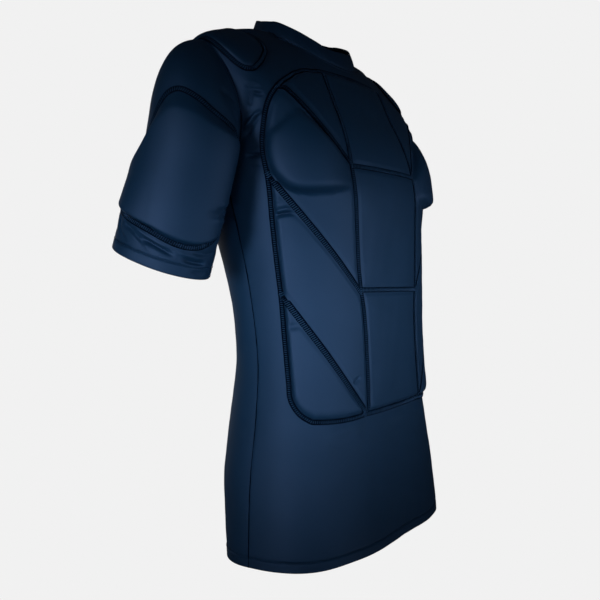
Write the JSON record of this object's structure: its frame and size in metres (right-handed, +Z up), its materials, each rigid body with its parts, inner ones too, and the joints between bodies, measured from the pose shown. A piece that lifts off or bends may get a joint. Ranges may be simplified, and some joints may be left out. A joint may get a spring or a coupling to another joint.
{
  "type": "padded compression shirt",
  "caption": "Short-sleeved close-fitting shirt with a stand-up collar and foam padding in slanting cells over the front, shoulders and upper arms.",
  "frame": {"origin": "the middle of the shirt from side to side, level with the tops of the shoulders, above the middle of the waist, where the wearer's shoulders carry it", "axes": "+Z up, the wearer faces -Y, +X to the wearer's left"},
  "size_m": [0.5886, 0.2631, 0.7137],
  "materials": {
    "stretch_cloth": "smooth matt knit with a faint sheen",
    "padded_cloth": "smooth matt knit over foam"
  },
  "bodies": {
    "root": {"front_panel": "stretch_cloth", "back_panel": "stretch_cloth", "collar": "stretch_cloth", "sleeve_L": "stretch_cloth", "sleeve_R": "stretch_cloth", "pad_centre_upper": "padded_cloth", "pad_centre_middle": "padded_cloth", "pad_centre_lower": "padded_cloth", "pad_top_L": "padded_cloth", "pad_top_R": "padded_cloth", "pad_chest_L": "padded_cloth", "pad_chest_R": "padded_cloth", "pad_waist_L": "padded_cloth", "pad_waist_R": "padded_cloth", "pad_belly_L": "padded_cloth", "pad_belly_R": "padded_cloth", "shoulder_pad_L": "padded_cloth", "shoulder_pad_R": "padded_cloth", "sleeve_pad_L": "padded_cloth", "sleeve_pad_R": "padded_cloth"}
  },
  "joints": []
}
